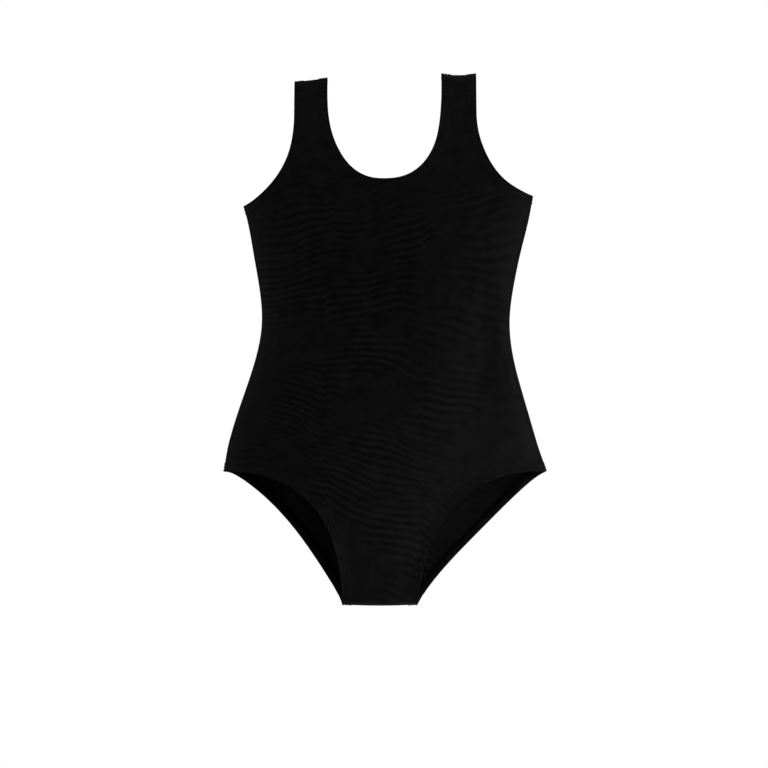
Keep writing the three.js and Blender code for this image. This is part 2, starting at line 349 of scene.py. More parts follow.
def inwards(side, name):
    # unit vectors across the cloth, away from the opening
    line = lines[side][name]
    along = np.gradient(line, axis=0)
    normal = unit(np.stack([-along[:, 1], along[:, 0]], axis=-1))
    middle = len(line) // 2
    wanted = {"neck": (0, 1), "arm": (-1, 1), "leg": (-1, -1)}[name]
    if normal[middle] @ wanted < 0:
        normal = -normal
    if name != "neck":  # along the side seam where the line meets it
        end, way = (-1, 1) if name == "arm" else (0, -1)
        q = line[end, 1]
        lean = seamAt(side, q + way * 5 * mm) - seamAt(side, q)
        square = np.array([lean, way * 5 * mm])
        square /= np.linalg.norm(square)
        blend = np.exp(-(np.linalg.norm(line - line[end], axis=1) / (4 * mm)) ** 2)[:, None]
        normal = unit(normal * (1 - blend) + square * blend)
        other = 0 if name == "arm" else -1
        normal[other] = (np.sign(normal[other, 0]), 0)
    else:
        normal[0], normal[-1] = (1, 0), (-1, 0)
    return normal


ways = {side: {name: inwards(side, name) for name in lines[side]} for side in (-1, 1)}


def edge(side, name, inset, flip=1):
    return (lines[side][name] + ways[side][name] * inset) * (flip, 1)


# ---- Relief: hems, stitch ditches, puckers, seams and press creases, as heights along the normal ----
relief = {
    "bulge": 0.7 * mm,
    "rows": (3.0 * mm, 6.2 * mm),
    "ditch": 0.45 * mm,
    "pucker": 0.2 * mm,
    "puckerReach": 11 * mm,
    "crease": 0.42 * mm,
    "wave": 0.9 * mm,
    "hemLift": 1.3 * mm,  # the elastic lifts the cloth along the neck and arms
    "hemLiftReach": 13 * mm,
    "curl": 2.8 * mm,  # the front's leg hems turn outwards a little
    "curlReach": 5.5 * mm,
    "creases": ((-62 * mm, 2.5 * mm, 1), (39 * mm, -2 * mm, 0.8)),  # place, lean and share of the depth
    "seamDip": 0.3 * mm,
    "seamRoll": 0.22 * mm,  # of the allowance beside the side seam
    "fine": 0.16 * mm,
    "waistDent": 2.1 * mm,
}


def treeOf(points):
    tree = KDTree(len(points))
    for i, (a, b) in enumerate(points):
        tree.insert((a, b, 0), i)
    tree.balance()
    return tree


runStep, runShift = 0.5 * mm, 7.3 * mm  # spacing of the points, and how far each run's ripples are shifted
hemTrees = {}
for side in (-1, 1):
    rim, runAt = [], []
    for name, flips in halves.items():
        for flip in flips:
            fine = respace(edge(side, name, 0, flip), runStep)
            rim.append(fine)
            runAt.append(len(runAt) * runShift + np.arange(len(fine)) * runStep)
    hemTrees[side] = (treeOf(np.vstack(rim)), np.concatenate(runAt))


def nearHem(side, p, q):
    tree, runAt = hemTrees[side]
    found = [tree.find((a, b, 0)) for a, b in zip(p, q)]
    return np.array([f[2] for f in found]), runAt[[f[1] for f in found]]


def ripple(run, seed):
    rng = np.random.default_rng(seed)
    total = np.zeros_like(run)
    for wave in (4.7, 6.1, 7.9, 10.3, 14.9):
        total += rng.uniform(0.5, 1) * np.sin(run / (wave * mm) * 2 * math.pi + rng.uniform(0, 6.28))
    return total / 2.2


def slowNoise(p, q, scale, seed, stretch=1.0):
    rng = np.random.default_rng(seed)
    total = np.zeros_like(p)
    for _ in range(7):
        turnBy = rng.normal(0, 0.55)
        k = 2 * math.pi / (scale * rng.uniform(0.6, 1.6))
        total += np.sin(k * (np.cos(turnBy) * p + np.sin(turnBy) * q / stretch) + rng.uniform(0, 6.28))
    return total / 3.2


def ridge(value, at, width):
    return np.exp(-(((value - at) / width) ** 2))


def heights(side, p, q):
    d, run = nearHem(side, p, q)
    drop = np.interp(q, arc, dropAlong)
    atSide = np.clip(seamAt(side, np.clip(q, 0, length)) - np.abs(p), 0, None)
    atLeg = smooth(drop, 0.36, 0.42)
    atFold = smooth(np.minimum(drop, span - drop), 8 * mm, 45 * mm)  # the panels meet evenly there
    near = np.exp(-(d / (30 * mm)) ** 2)
    # hems
    inHem = 1 / (1 + np.exp((d - cut["hem"]) / (0.45 * mm)))
    bulge = relief["bulge"] * inHem * (1 + 0.2 * ridge(q, 0, 7 * mm))
    rows = sum(ridge(d, row, 0.75 * mm) for row in relief["rows"])
    bulge = bulge - relief["ditch"] * rows * (1 + 0.5 * atLeg)
    reachDown = np.exp(-np.maximum(d - 4 * mm, 0) / relief["puckerReach"]) * np.clip(d / (2 * mm), 0.15, 1)
    pucker = relief["pucker"] * ripple(run, 11 + side) * reachDown
    pucker = pucker * smooth(np.minimum(q - 4 * mm, length - 14 * mm - q), -12 * mm, 10 * mm)
    curl = relief["curl"] * ridge(d, 0, relief["curlReach"]) * atLeg * (side < 0)
    curl = curl * smooth(atSide, 4 * mm, 40 * mm) * smooth(span - drop, 2 * mm, 30 * mm)
    upper = 1 - smooth(drop, 0.2, 0.3)
    lift = relief["hemLift"] * np.exp(-d / relief["hemLiftReach"]) * upper * smooth(atSide, 0, 30 * mm)
    lift = lift * smooth(drop, 10 * mm, 60 * mm)
    # side seams, press creases and waves
    sideSeam = -relief["seamDip"] * ridge(atSide, 0, 1.0 * mm)
    sideSeam = sideSeam + relief["seamRoll"] * ridge(atSide, 4.2 * mm, 2.4 * mm) * (1 - inHem)
    body = np.clip((drop - 0.12) / 0.05, 0, 1) * np.clip((0.5 - drop) / 0.05, 0, 1)
    folds = 0
    for at, lean, share in relief["creases"]:
        folds = folds + share * ridge(p, at + lean * np.sin(drop * 9), 2.6 * mm)
    folds = folds * relief["crease"] * body * (0.65 if side < 0 else 0.4)
    calm = np.clip(atSide / (30 * mm), 0, 1) * (1 - 0.8 * near) * atFold
    waves = relief["wave"] * slowNoise(p, q, 95 * mm, 31 + side, 2.6) * calm
    small = relief["fine"] * slowNoise(p, q, 22 * mm, 57 + side, 1.6) * (1 - 0.5 * near) * atFold
    small = small * smooth(atSide, 0, 12 * mm)
    waist = -relief["waistDent"] * ridge(p, 106 * mm, 17 * mm) * ridge(drop, 0.285, 0.055) * (side < 0)
    return bulge + pucker + sideSeam - folds + waves + small + waist + curl + lift


lay = {  # how it lies
    # by drop in mm, how far its middle sways to the right in mm, and how much it rises towards the right
    "sway": (
        (0, 0.9), (55, 1.2), (85, 2.3), (100, 2.5), (118, 2.8), (132, 4.4), (200, 3.4), (257, 1.9),
        (320, -0.1), (368, -1.3), (388, -1.4), (415, 0.1), (470, -1.2), (560, -4.6),
    ),
    "lift": (
        (0, 0.034), (60, 0.028), (105, 0.027), (132, 0.036), (170, 0.03), (300, 0),
        (400, 0.001), (445, 0.002), (500, 0), (560, 0),
    ),
    "backSway": (5.7 * mm, 7.3 * mm),  # of the back panel, at the left and right legs
    "leftSlant": 0.085,  # of the top of the left strap
    "leftLow": 1.0 * mm,  # how much lower the left strap's top lies
    "rightSlant": -0.034,
    "rightSag": 1.3 * mm,  # of the top of the right strap between its hems
    "rightWiden": 0.05,  # the right strap lies wider than it was cut
    "crotchSag": 1.3 * mm,  # of the crotch fold between the legs
}


def settle(points, side):
    x, z = points[:, 0].copy(), points[:, 2].copy()
    drop = top - z
    sway, lift = (np.array(lay[key], float) for key in ("sway", "lift"))
    points[:, 0] += spline(sway[:, 0] * mm, sway[:, 1] * mm, drop)
    onRight = smooth(x, -20 * mm, 20 * mm)
    swayLeft, swayRight = lay["backSway"]
    backSway = swayLeft * ridge(drop, 0.455, 0.05) * (1 - onRight)
    backSway += swayRight * ridge(drop, 0.463, 0.058) * onRight
    points[:, 0] += backSway * smooth(points[:, 1], -4 * mm, 8 * mm)
    points[:, 2] += x * spline(lift[:, 0] * mm, lift[:, 1], drop)
    strapMiddle = (cut["strapInner"] + cut["strapOuter"]) / 2
    across = (np.abs(x) - strapMiddle) / (strapMiddle - cut["strapInner"])
    atFold = ridge(drop, 0, 14 * mm)
    outwards = np.abs(x) - strapMiddle
    left = -lay["leftSlant"] * outwards - lay["leftLow"]
    right = lay["rightSlant"] * outwards + lay["rightSag"] * (np.minimum(across**2, 1.5) - 0.8)
    points[:, 2] += np.where(x < 0, left, right) * atFold
    widened = np.where(x > 0, lay["rightWiden"] * outwards, 0)
    points[:, 0] += widened * (1 - smooth(drop, 30 * mm, 75 * mm)) * smooth(x, 20 * mm, 45 * mm)
    sag = lay["crotchSag"] * (1 - np.minimum(x / cut["crotchHalf"], 1) ** 2)
    points[:, 2] -= sag * smooth(drop, span - 30 * mm, span)
    return points


def onCloth(side, flat, depth=0.0):
    # points of the flat pattern laid on the form, at a depth below the outer face, with their normals
    p, q = (np.ascontiguousarray(column, float) for column in flat.T)
    small = 0.2 * mm
    acrossStep = skin(side, p + small, q) - skin(side, p - small, q)
    downStep = skin(side, p, q + small) - skin(side, p, q - small)
    normal = unit(side * np.cross(acrossStep, downStep))
    rise = heights(side, p, q) - depth
    return settle(skin(side, p, q) + normal * rise[:, None], side), normal


# ---- Mesh helpers ----
def meshObject(name, verts, faces, material=None, smoothShade=True, uv=None):
    mesh = bpy.data.meshes.new(name)
    mesh.from_pydata([tuple(v) for v in verts], [], [tuple(int(i) for i in f) for f in faces])
    mesh.validate(clean_customdata=False)
    mesh.polygons.foreach_set("use_smooth", [smoothShade] * len(mesh.polygons))
    if uv is not None:
        layer = mesh.uv_layers.new(name="cloth")
        corner = np.empty(len(mesh.loops), int)
        mesh.loops.foreach_get("vertex_index", corner)
        layer.data.foreach_set("uv", np.asarray(uv)[corner].ravel())
    piece = bpy.data.objects.new(name, mesh)
    scene.collection.objects.link(piece)
    if material:
        mesh.materials.append(material)
    mesh.update()
    return piece


def fixNormals(piece):
    work = bmesh.new()
    work.from_mesh(piece.data)
    bmesh.ops.recalc_face_normals(work, faces=work.faces)
    work.to_mesh(piece.data)
    work.free()
    piece.data.update()


def joinPieces(name, *pieces):
    bpy.ops.object.select_all(action="DESELECT")
    for piece in pieces:
        piece.select_set(True)
    bpy.context.view_layer.objects.active = pieces[0]
    bpy.ops.object.join()
    pieces[0].name = name
    pieces[0].data.name = name
    return pieces[0]


def sweepFaces(rings, corners, closedRings=True, closedCorners=True):
    # quads between rings of points that are stored one after another
    faces = []
    for i in range(rings if closedRings else rings - 1):
        j = (i + 1) % rings
        for k in range(corners if closedCorners else corners - 1):
            m = (k + 1) % corners
            faces.append((i * corners + k, i * corners + m, j * corners + m, j * corners + k))
    return faces


# ---- Materials ----
def newMaterial(name):
    material = bpy.data.materials.new(name)
    material.use_nodes = True
    tree = material.node_tree
    return material, tree, tree.nodes["Principled BSDF"]


def feed(tree, node, inputs):
    # sockets are linked to the node's inputs, and other values are set
    for key, value in inputs.items():
        if isinstance(value, bpy.types.NodeSocket):
            tree.links.new(value, node.inputs[key])
        else:
            node.inputs[key].default_value = value
    return node


def addNode(tree, kind, inputs=None, **settings):
    node = tree.nodes.new(kind)
    for key, value in settings.items():
        setattr(node, key, value)
    return feed(tree, node, inputs or {})


def mathNode(tree, operation, *values):
    return addNode(tree, "ShaderNodeMath", dict(enumerate(values)), operation=operation).outputs[0]


def rampOf(tree, value, dark, light, ends=(0, 1)):
    ramp = addNode(tree, "ShaderNodeValToRGB", {0: value})
    for stop, position, colour in zip(ramp.color_ramp.elements, ends, (dark, light)):
        stop.position, stop.color = position, (*colour, 1)
    return ramp.outputs[0]


def newGroup(name, kind, inputs, outputs):
    # each socket has a default value or, as a word, its type
    group = bpy.data.node_groups.new(name, kind)
    for way, sockets in (("INPUT", inputs), ("OUTPUT", outputs)):
        for title, value in sockets.items():
            socketKind = value if isinstance(value, str) else "Float"
            socket = group.interface.new_socket(title, in_out=way, socket_type="NodeSocket" + socketKind)
            if socketKind == "Float":
                socket.default_value = value
    enter, leave = group.nodes.new("NodeGroupInput"), group.nodes.new("NodeGroupOutput")
    return group, enter.outputs, leave


def knitGroup():
    # wales and courses of a fine jersey: columns of V-shaped loops, as a height
    inputs = {"Across": 0.0, "Down": 0.0, "Wale": 0.62 * mm, "Course": 0.5 * mm}
    group, enter, leave = newGroup("FineKnit", "ShaderNodeTree", inputs, {"Height": 0.0})
    calc = partial(mathNode, group)
    u = calc("DIVIDE", enter["Across"], enter["Wale"])
    column = calc("PINGPONG", calc("ADD", u, 1000.0), 0.5)  # 0 to 0.5 across half a wale
    v = calc("DIVIDE", enter["Down"], enter["Course"])
    slant = calc("ADD", v, calc("MULTIPLY", column, 1.5))
    loops = calc("SINE", calc("MULTIPLY", slant, 2 * math.pi))
    ribs = calc("COSINE", calc("MULTIPLY", u, 2 * math.pi))
    ribs = calc("MULTIPLY", calc("ADD", ribs, 1.0), -0.35)
    feed(group, leave, {"Height": calc("ADD", calc("MULTIPLY", loops, 0.3), ribs)})
    return group


def bandGroup():
    # soft ripple bands along the courses where the jersey stretches: wavy, patchy, and broken at the press
    # creases. The material uses the same value as the ripples' bump height and as painted shade in the
    # colour, lighter on the crests and darker in the troughs
    inputs = {"Across": 0.0, "Down": 0.0, "Pitch": 8 * mm}
    group, enter, leave = newGroup("RippleBandsAndPaintedShade", "ShaderNodeTree", inputs, {"Bands": 0.0, "Mottle": 0.0})
    across, down = enter["Across"], enter["Down"]
    calc = partial(mathNode, group)

    def cloud(acrossScale, downScale, detail):
        scaled = {0: calc("MULTIPLY", across, acrossScale), 1: calc("MULTIPLY", down, downScale)}
        place = addNode(group, "ShaderNodeCombineXYZ", scaled).outputs[0]
        noise = addNode(group, "ShaderNodeTexNoise", {"Scale": 1.0, "Detail": detail, "Vector": place})
        return calc("SUBTRACT", noise.outputs["Fac"], 0.5)

    def between(value, low, high, start, end):
        inputs = {"Value": value, "From Min": low, "From Max": high, "To Min": start, "To Max": end}
        return addNode(group, "ShaderNodeMapRange", inputs, interpolation_type="SMOOTHSTEP").outputs["Result"]

    bend = calc("MULTIPLY", cloud(9, 6, 1), 62 * mm)
    waver = calc("MULTIPLY", cloud(34, 20, 2), 9 * mm)
    wander = calc("MULTIPLY_ADD", cloud(3, 26, 1), 9 * mm, across)
    leftBreak = between(wander, -64 * mm, -60 * mm, 0, 3.4 * mm)
    rightBreak = between(wander, 36 * mm, 41 * mm, 0, 3 * mm)
    slope = between(down, 0.14, 0.42, 0.16, -0.36)  # rising to the right on the chest, falling on the belly
    shifts = calc("MULTIPLY_ADD", across, slope, calc("ADD", leftBreak, rightBreak))
    place = calc("ADD", calc("ADD", down, bend), calc("ADD", waver, shifts))
    turns = calc("DIVIDE", place, enter["Pitch"])
    wave = calc("SINE", calc("MULTIPLY", turns, 2 * math.pi))
    patch = calc("MULTIPLY_ADD", cloud(13, 16, 1), 5.0, 0.55)
    offMiddle = calc("MULTIPLY", calc("ABSOLUTE", calc("ADD", across, 0.02)), 5.6)
    middle = calc("SUBTRACT", 1.15, offMiddle)
    patch = calc("MULTIPLY", patch, calc("MULTIPLY", middle, between(down, 0.08, 0.15, 0, 1)))
    clamp = addNode(group, "ShaderNodeClamp", {"Value": patch, "Min": 0.04})
    feed(group, leave, {"Bands": calc("MULTIPLY", wave, clamp.outputs[0]), "Mottle": cloud(60, 75, 4)})
    return group


knit, bands = knitGroup(), bandGroup()


def clothMaterial(name, dark, light, roughness, sheen, specular, bandRise):
    material, tree, shader = newMaterial(name)
    calc = partial(mathNode, tree)
    uv = addNode(tree, "ShaderNodeUVMap", uv_map="cloth").outputs[0]
    place = addNode(tree, "ShaderNodeSeparateXYZ", {0: uv}).outputs
    weave, rows = (addNode(tree, "ShaderNodeGroup", node_tree=group) for group in (knit, bands))
    for node in (weave, rows):
        feed(tree, node, {"Across": place[0], "Down": place[1]})
    rows.inputs["Pitch"].default_value = 8.2 * mm
    weave, rows = weave.outputs["Height"], rows.outputs
    # painted shade of the ripples: the bands make the colour lighter on their crests and darker in their
    # troughs
    shade = calc("MULTIPLY_ADD", rows["Bands"], 0.4, 0.45)
    shade = calc("MULTIPLY_ADD", rows["Mottle"], 1.25, shade)
    shade = calc("MULTIPLY_ADD", weave, 0.12, shade)
    dark, light = ((tone, tone * 1.03, tone * 1.01) for tone in (dark, light))
    ripples = addNode(tree, "ShaderNodeBump", {"Strength": 1, "Distance": bandRise, "Height": rows["Bands"]})
    raised = {"Strength": 0.45, "Distance": 0.12 * mm, "Height": weave, "Normal": ripples.outputs[0]}
    feed(tree, shader, {
        "Base Color": rampOf(tree, shade, dark, light, (0.12, 0.88)),
        "Roughness": calc("MULTIPLY_ADD", rows["Bands"], -0.05, roughness),
        "Normal": addNode(tree, "ShaderNodeBump", raised).outputs[0],
        "Sheen Weight": sheen,
        "Sheen Roughness": 0.38,
        "Specular IOR Level": specular,
    })
    return material


looks = {  # darkest and lightest colour, roughness, sheen, gloss, height of the bands
    "jersey": (0.0008, 0.0044, 0.6, 0.012, 0.05, 0.2 * mm),
    "lining": (0.0016, 0.005, 0.7, 0.012, 0.04, 0.1 * mm),
}
jersey = clothMaterial("BlackJersey", *looks["jersey"])
liningCloth = clothMaterial("BlackLining", *looks["lining"])


threadLook = {  # roughness is the texture's share and a base; bump is a strength and a height
    "texture": "ShaderNodeTexWave",
    "inputs": {"Scale": 900, "Distortion": 1.5},
    "settings": {"bands_direction": "DIAGONAL"},
    "output": "Fac",
    "colours": ((0.0022, 0.0022, 0.0022), (0.0065, 0.0065, 0.0065)),
    "roughness": (0.15, 0.4),
    "bump": (0.4, 0.02 * mm),
    "gloss": 0.05,
}
elasticLook = {
    "texture": "ShaderNodeTexVoronoi",
    "inputs": {"Scale": 1100},
    "settings": {},
    "output": "Distance",
    "colours": ((0.012, 0.012, 0.012), (0.035, 0.035, 0.036)),
    "roughness": (0.2, 0.65),
    "bump": (1, 0.1 * mm),
    "gloss": 0.5,
}
labelLook = {
    "texture": "ShaderNodeTexWave",
    "inputs": {"Scale": 620, "Distortion": 0.6},
    "settings": {"bands_direction": "Z"},
    "output": "Fac",
    "colours": ((0.62, 0.61, 0.58), (0.8, 0.79, 0.76)),
    "roughness": (0.12, 0.38),
    "bump": (0.3, 0.05 * mm),
    "gloss": 0.5,
}


def texturedMaterial(name, look):
    material, tree, shader = newMaterial(name)
    coords = addNode(tree, "ShaderNodeTexCoord").outputs["Object"]
    texture = addNode(tree, look["texture"], {**look["inputs"], "Vector": coords}, **look["settings"])
    value = texture.outputs[look["output"]]
    share, base = look["roughness"]
    strength, rise = look["bump"]
    raised = addNode(tree, "ShaderNodeBump", {"Strength": strength, "Distance": rise, "Height": value})
    feed(tree, shader, {
        "Base Color": rampOf(tree, value, *look["colours"]),
        "Roughness": mathNode(tree, "ADD", mathNode(tree, "MULTIPLY", value, share), base),
        "Normal": raised.outputs[0],
        "Specular IOR Level": look["gloss"],
    })
    return material


thread = texturedMaterial("BlackThread", threadLook)
elastic = texturedMaterial("BraidedElastic", elasticLook)
label = texturedMaterial("SatinLabel", labelLook)
print("materials ready")

# ---- Panels ----
panelSettings = {
    "grid": 3.0 * mm,
    "cloth": 0.9 * mm,  # thickness
    "start": 1.2 * mm,  # inset at which the flat part of the panel begins
    "rings": (2.1, 3.0, 3.9, 5.0, 6.2, 7.3, 8.4, 9.3, 10.4),  # insets in mm of points along the openings
    "seamRings": (0.6, 1.3, 2.3, 4.0),  # and along the side seams
    "seamStep": 2.4 * mm,
    "slit": 0.03 * mm,  # between two panels at a seam
    # the turned hem from the outer face round the edge to the raw edge and back, as insets and depths in mm
    "turn": (
        (0.62, 0.02), (0.26, 0.18), (0.05, 0.5), (0, 1.0), (0, 1.6), (0, 2.2), (0.05, 2.7),
        (0.26, 3.02), (0.62, 3.18), (1.6, 3.2), (3.0, 3.08), (4.6, 3.2), (6.2, 3.08), (7.3, 2.94),
        (8.4, 2.2), (8.85, 1.98), (9.0, 1.78), (9.0, 1.36), (8.85, 1.14), (8.4, 1.16), (7.3, 2.08),
        (6.2, 2.3), (3.0, 2.3), (1.35, 2.28), (1.0, 2.0), (1.0, 1.2),
    ),
}


def insidePolygon(points, loop):
    x, y = points[:, 0], points[:, 1]
    inside = np.zeros(len(points), bool)
    a, b = loop, np.roll(loop, -1, axis=0)
    for (x0, y0), (x1, y1) in zip(a, b):
        if y0 == y1:
            continue
        crosses = (y0 > y) != (y1 > y)
        inside ^= crosses & (x < (x1 - x0) * (y - y0) / (y1 - y0) + x0)
    return inside


def distanceTo(points, loop):
    tree = treeOf(loop)
    return np.array([tree.find((a, b, 0))[2] for a, b in points])


def gridInside(loop, grid):
    # staggered rows of points inside a loop
    low, high = loop.min(axis=0), loop.max(axis=0)
    rows = []
    for i, q in enumerate(np.arange(low[1], high[1], grid * 0.87)):
        columns = np.arange(low[0] + (i % 2) * grid / 2, high[0], grid)
        rows.append(np.stack([columns, np.full_like(columns, q)], axis=-1))
    points = np.vstack(rows)
    return points[insidePolygon(points, loop)]


def triangulate(loop, extra):
    # one closed loop, filled with the extra points: the loop's points come first in the result
    count = len(loop)
    points = [Vector((a * 1000, b * 1000)) for a, b in np.vstack([loop, extra])]
    edges = [(i, (i + 1) % count) for i in range(count)]
    verts, _, faces, origins, _, _ = delaunay_2d_cdt(points, edges, [], 1, 1e-5)
    order = {}
    for now, was in enumerate(origins):
        for source in was:
            order[source] = now
    first = [order[i] for i in range(count)]
    flat = np.array([(v.x / 1000, v.y / 1000) for v in verts])
    return flat, [tuple(f) for f in faces], first


def seamLine(side, q0, q1, inset, step):
    q = np.linspace(q0, q1, max(3, int(round(abs(q1 - q0) / step))))
    return np.stack([seamAt(side, q) - inset, q], axis=-1)


def panelEdge(side, name, inset, flip=1):
    # an opening's edge, with its ends a slit short of the seams
    line, slit = edge(side, name, inset, flip), panelSettings["slit"]
    if name != "neck":
        end = line[-1] if name == "arm" else line[0]
        end[0] = np.sign(end[0]) * (seamAt(side, end[1]) - slit)
    if name == "leg":
        line[-1, 1] -= slit
    else:
        line[0, 1] += slit
    if name == "neck":
        line[-1, 1] += slit
    return line


def inBetween(a, b, count):
    return np.linspace(a, b, count)[1:-1]


def turnHem(side, kind, ids, count, verts, uv):
    # rings of points from the rim round the turned hem and back to the inner face, with the faces between
    name, onLeft = kind.replace("Left", ""), kind.endswith("Left")
    total = sum(len(part) for part in verts)
    quads, previous, caps = [], ids, [[ids[0]], [ids[-1]]]
    for inset, depth in panelSettings["turn"]:
        line = panelEdge(side, name, inset * mm, -1 if onLeft else 1)
        if onLeft or name == "neck":
            line = line[::-1]
        verts.append(onCloth(side, line, depth * mm)[0])
        uv.append(line + (0, depth * mm))
        rim = list(range(total, total + len(line)))
        total += len(line)
        quads += zip(previous, previous[1:], rim[1:], rim)
        for cap, i in zip(caps, (0, -1)):
            cap.append(rim[i])
        previous = rim
    last = [i + count for i in ids]
    quads += zip(previous, previous[1:], last[1:], last)
    return quads + [(*cap, last[i]) for cap, i in zip(caps, (0, -1))]


def buildPanel(name, side):
    s = panelSettings
    neck, arm, leg = (panelEdge(side, kind, s["start"]) for kind in halves)  # the neck from right to left
    armLeft, legLeft = (panelEdge(side, kind, s["start"], -1) for kind in ("arm", "leg"))
    seam = seamLine(side, arm[-1, 1], leg[0, 1], s["slit"], s["seamStep"])[1:-1]
    over, overLeft = inBetween(arm[0], neck[0], 14), inBetween(neck[-1], armLeft[0], 14)
    runs = [
        ("arm", arm), ("side", seam), ("leg", leg), ("crotch", inBetween(leg[-1], legLeft[-1], 36)),
        ("legLeft", legLeft[::-1]), ("side", (seam * (-1, 1))[::-1]), ("armLeft", armLeft[::-1]),
        ("over", overLeft[::-1]), ("neck", neck[::-1]), ("over", over[::-1]),
    ]
    loop = np.vstack([run for _, run in runs])
    extra = []
    for inset in s["rings"]:
        for kind, flips in halves.items():
            extra += [edge(side, kind, inset * mm, flip)[1:-1] for flip in flips]
    for inset in s["seamRings"]:
        rows = seamLine(side, arm[-1, 1], leg[0, 1], inset * mm, s["seamStep"])
        extra += [rows, rows * (-1, 1)]
    extra = np.vstack(extra)
    away = distanceTo(extra, respace(np.vstack([loop, loop[:1]]), 0.4 * mm))
    extra = extra[(away > 0.42 * mm) & insidePolygon(extra, loop)]
    grid = gridInside(loop, s["grid"])
    grid = grid[distanceTo(grid, np.vstack([loop, extra])) > s["grid"] * 0.55]
    flat, faces, first = triangulate(loop, np.vstack([extra, grid]))
    count = len(flat)
    verts, uv = [onCloth(side, flat)[0], onCloth(side, flat, s["cloth"])[0]], [flat, flat]
    # cross of p and q is along the outward normal for one side and against it for the other
    turned = [f[::-1] for f in faces]
    outFaces, inFaces = (turned, faces) if side < 0 else (faces, turned)
    allFaces = outFaces + [tuple(i + count for i in f) for f in inFaces]
    at, hemEdges = 0, set()
    for kind, run in runs:
        if kind.startswith(("arm", "leg", "neck")):
            allFaces += turnHem(side, kind, first[at : at + len(run)], count, verts, uv)
            hemEdges.update(range(at, at + len(run) - 1))
        at += len(run)
    for i in sorted(set(range(len(loop))) - hemEdges):  # plain walls along the seams
        a, b = first[i], first[(i + 1) % len(loop)]
        allFaces.append((a, b, b + count, a + count))
    piece = meshObject(name, np.vstack(verts), allFaces, jersey, uv=np.vstack(uv))
    fixNormals(piece)
    return piece


pieces = {}
for name, side in (("front_panel", -1), ("back_panel", 1)):
    pieces[name] = buildPanel(name + "_cloth", side)
    print(name, len(pieces[name].data.vertices), "vertices")


# ---- Rings round the openings: positions and normals at an inset and depth ----
openings = {
    "neckline": ("neck", 1),
    "left_armhole": ("arm", -1),
    "right_armhole": ("arm", 1),
    "left_leg": ("leg", -1),
    "right_leg": ("leg", 1),
}


def ring(name, inset, depth):
    kind, flip = openings[name]
    front, back = (edge(side, kind, inset, flip)[1:-1] for side in (-1, 1))
    laid = onCloth(-1, front, depth), onCloth(1, back[::-1], depth)
    return [np.vstack(parts) for parts in zip(*laid)]


def loopSweep(name, sections, material):
    # sections[k] is the k-th corner of the section all the way round the loop
    faces = sweepFaces(len(sections), len(sections[0]))
    piece = meshObject(name, np.vstack(sections), faces, material)
    fixNormals(piece)
    return piece


band = (  # the elastic's section, as insets and depths in mm
    (1.25, 1.3), (1.25, 1.95), (1.6, 2.08), (4.2, 2.1), (6.6, 2.08),
    (6.95, 1.95), (6.95, 1.3), (6.6, 1.17), (4.2, 1.15), (1.6, 1.17),
)
for name in openings:
    sections = [ring(name, inset * mm, depth * mm)[0] for inset, depth in band]
    pieces[name + "_elastic"] = loopSweep(name + "_elastic_band", sections, elastic)
print("elastics ready")


# ---- Stitches ----
def stitchTree():
    # puts a copy of a stitch on each point, along its seam and facing out of the cloth
    output = {"Geometry": "Geometry"}
    inputs = {**output, "Stitch": "Object", "Scale": 1.0, "Unevenness": 0.06, "Thread": "Material"}
    tree, enter, leave = newGroup("StitchRow", "GeometryNodeTree", inputs, output)

    def attribute(name):
        node = addNode(tree, "GeometryNodeInputNamedAttribute", {"Name": name}, data_type="FLOAT_VECTOR")
        return node.outputs["Attribute"]

    def turned(inputs, **settings):
        return addNode(tree, "FunctionNodeAlignRotationToVector", inputs, **settings).outputs[0]

    shape = addNode(tree, "GeometryNodeObjectInfo", {"Object": enter["Stitch"]}).outputs["Geometry"]
    first = turned({"Vector": attribute("along")}, axis="X")
    second = turned({"Rotation": first, "Vector": attribute("out")}, axis="Z", pivot_axis="X")
    lowest = mathNode(tree, "SUBTRACT", enter["Scale"], enter["Unevenness"])
    sizes = {2: lowest, 3: enter["Scale"], "Seed": 7}
    uneven = addNode(tree, "FunctionNodeRandomValue", sizes, data_type="FLOAT").outputs[1]
    placed = {"Points": enter["Geometry"], "Instance": shape, "Rotation": second, "Scale": uneven}
    copies = addNode(tree, "GeometryNodeInstanceOnPoints", placed).outputs[0]
    real = addNode(tree, "GeometryNodeRealizeInstances", {0: copies}).outputs[0]
    painted = addNode(tree, "GeometryNodeSetMaterial", {"Geometry": real, "Material": enter["Thread"]})
    feed(tree, leave, {0: painted.outputs[0]})
    return tree


stitches = stitchTree()
stitchShapes = bpy.data.collections.new("StitchShapes")


def tube(path, up, radius, sides=6, closed=False):
    path = np.asarray(path, float)
    along = np.roll(path, -1, axis=0) - np.roll(path, 1, axis=0) if closed else np.gradient(path, axis=0)
    along = unit(along)
    across = unit(np.cross(up, along))
    lift = np.cross(along, across)
    turnBy = np.arange(sides) * 2 * math.pi / sides
    radius = np.broadcast_to(radius, (len(path),))[:, None, None]
    verts = (
        path[:, None, :]
        + across[:, None, :] * (np.cos(turnBy)[None, :, None] * radius)
        + lift[:, None, :] * (np.sin(turnBy)[None, :, None] * radius)
    ).reshape(-1, 3)
    faces = sweepFaces(len(path), sides, closed)
    if not closed:
        faces.append(tuple(range(sides))[::-1])
        faces.append(tuple(range((len(path) - 1) * sides, len(path) * sides)))
    return verts, faces


def stitchShape(name, path, radius):
    path = np.array(path) * mm
    up = np.tile((0, 0.02, 1.0), (len(path), 1))
    taper = np.ones(len(path))
    taper[[0, -1]] = 0.55
    verts, faces = tube(path, up, radius * mm * taper)
    shape = meshObject(name, verts, faces)
    fixNormals(shape)
    scene.collection.objects.unlink(shape)
    stitchShapes.objects.link(shape)
    return shape


